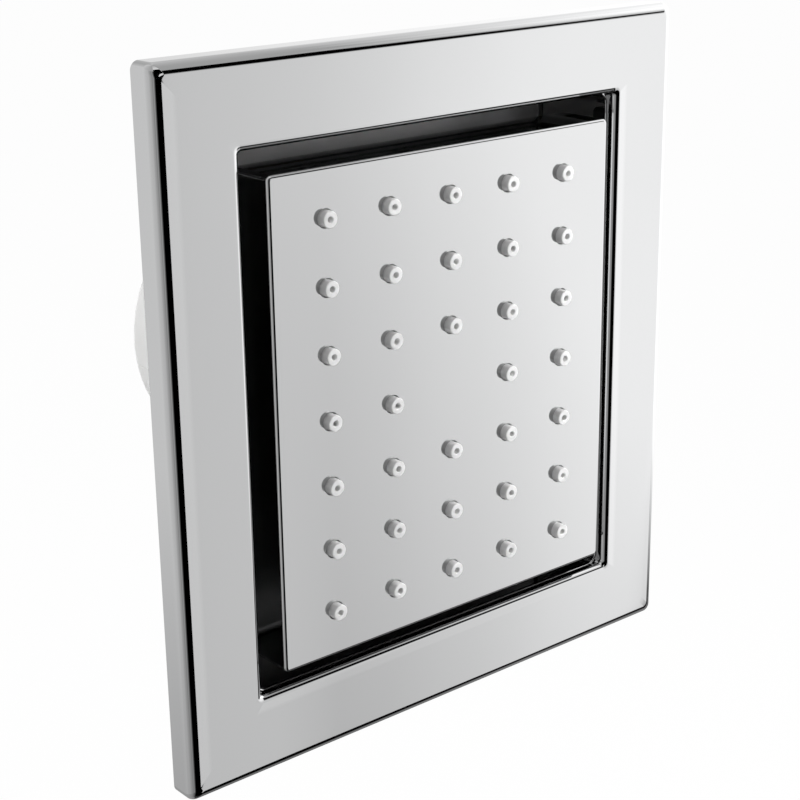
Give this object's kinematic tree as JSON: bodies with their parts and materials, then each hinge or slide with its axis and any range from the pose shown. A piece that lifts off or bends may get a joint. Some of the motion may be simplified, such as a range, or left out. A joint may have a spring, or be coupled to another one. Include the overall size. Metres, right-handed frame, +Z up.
{
  "type": "shower body jet",
  "caption": "Flush wall body jet: rectangular chrome frame, deep recess and a floating spray head with white nozzles that tilts on a ball; round housing and threaded inlet behind.",
  "frame": {"origin": "centre of the frame, in the plane of the finished wall", "axes": "+Z up, -Y out of the wall towards the user, +X to the right seen from the front"},
  "size_m": [0.12, 0.0853, 0.1304],
  "materials": {
    "chrome": "polished chrome plate",
    "white_plastic": "white moulded plastic",
    "grey_plastic": "grey moulded plastic",
    "white_silicone": "white silicone",
    "seal_rubber": "black rubber",
    "inlet_brass": "machined brass",
    "screw_steel": "bright steel",
    "liner_plastic": "waxy off-white plastic",
    "regulator_plastic": "green moulded plastic"
  },
  "bodies": {
    "base": {"face_frame": "chrome", "recess_pan": "chrome", "wall_gasket": "seal_rubber", "frame_screws": "screw_steel", "rear_housing": "white_plastic", "housing_gasket": "seal_rubber", "housing_screws": "screw_steel", "inlet_body": "inlet_brass", "inlet_washer": "seal_rubber", "inlet_lock_washer": "screw_steel", "inlet_lock_nut": "inlet_brass", "filter_screen": "screw_steel", "flow_regulator": "regulator_plastic", "regulator_ring": "seal_rubber", "ball_stem": "inlet_brass", "stem_ring": "seal_rubber"},
    "ball_cradle": {"ball_liner": "liner_plastic"},
    "head": {"swivel_nut": "inlet_brass", "ball_seal": "seal_rubber", "chamber_back": "grey_plastic", "chamber_seal": "seal_rubber", "chamber_screws": "screw_steel", "nozzle_mat": "white_silicone", "spray_cover": "chrome"}
  },
  "joints": [
    {"name": "head_tilt", "type": "hinge", "parent": "base", "child": "ball_cradle", "pos_m": [0, 0.016, 0], "axis": [1, 0, 0], "range_deg": [-5, 5]},
    {"name": "head_turn", "type": "hinge", "parent": "ball_cradle", "child": "head", "pos_m": [0, 0.016, 0], "axis": [0, 0, 1], "range_deg": [-5, 5]}
  ]
}
